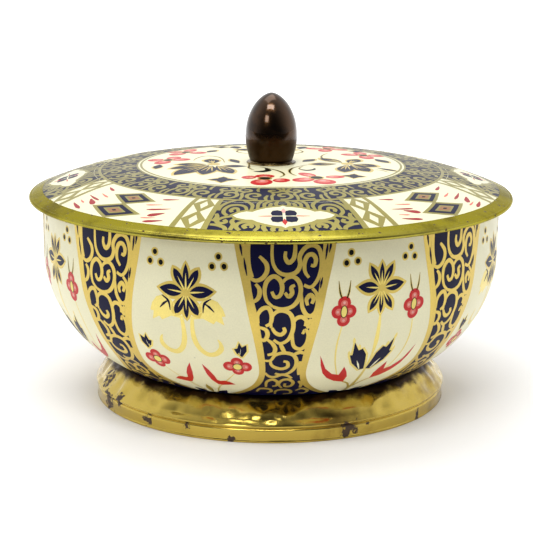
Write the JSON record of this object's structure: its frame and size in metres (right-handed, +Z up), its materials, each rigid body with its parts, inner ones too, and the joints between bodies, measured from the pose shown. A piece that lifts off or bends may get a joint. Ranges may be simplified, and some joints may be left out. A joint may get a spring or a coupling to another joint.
{
  "type": "tea caddy",
  "caption": "Round printed tin tea caddy on a spread foot, with a bowl-shaped body, a domed lift-off lid with a rolled edge and an acorn knob.",
  "frame": {"origin": "centre of the flat plane that the foot's hem stands on", "axes": "+Z up along the body's axis of revolution, -Y towards the front, +X to the right seen from the front"},
  "size_m": [0.19, 0.19, 0.1203],
  "materials": {
    "printed_bowl": "gloss",
    "gold_foot": "gloss",
    "printed_lid": "gloss",
    "plain_tin": "satin",
    "aged_brass": "gloss",
    "plain_brass": "satin",
    "plain_steel": "satin"
  },
  "bodies": {
    "base": {"bowl": "printed_bowl", "foot_ring": "gold_foot"},
    "lid": {"lid_shell": "printed_lid", "lid_collar": "plain_tin", "knob_shell": "aged_brass", "knob_core": "plain_brass", "knob_seat": "aged_brass", "lid_screw": "plain_steel", "screw_washer": "plain_steel"}
  },
  "joints": [
    {"name": "lid_lift", "type": "slide", "parent": "base", "child": "lid", "axis": [0, 0, 1], "range_m": [0, 0.12]}
  ]
}
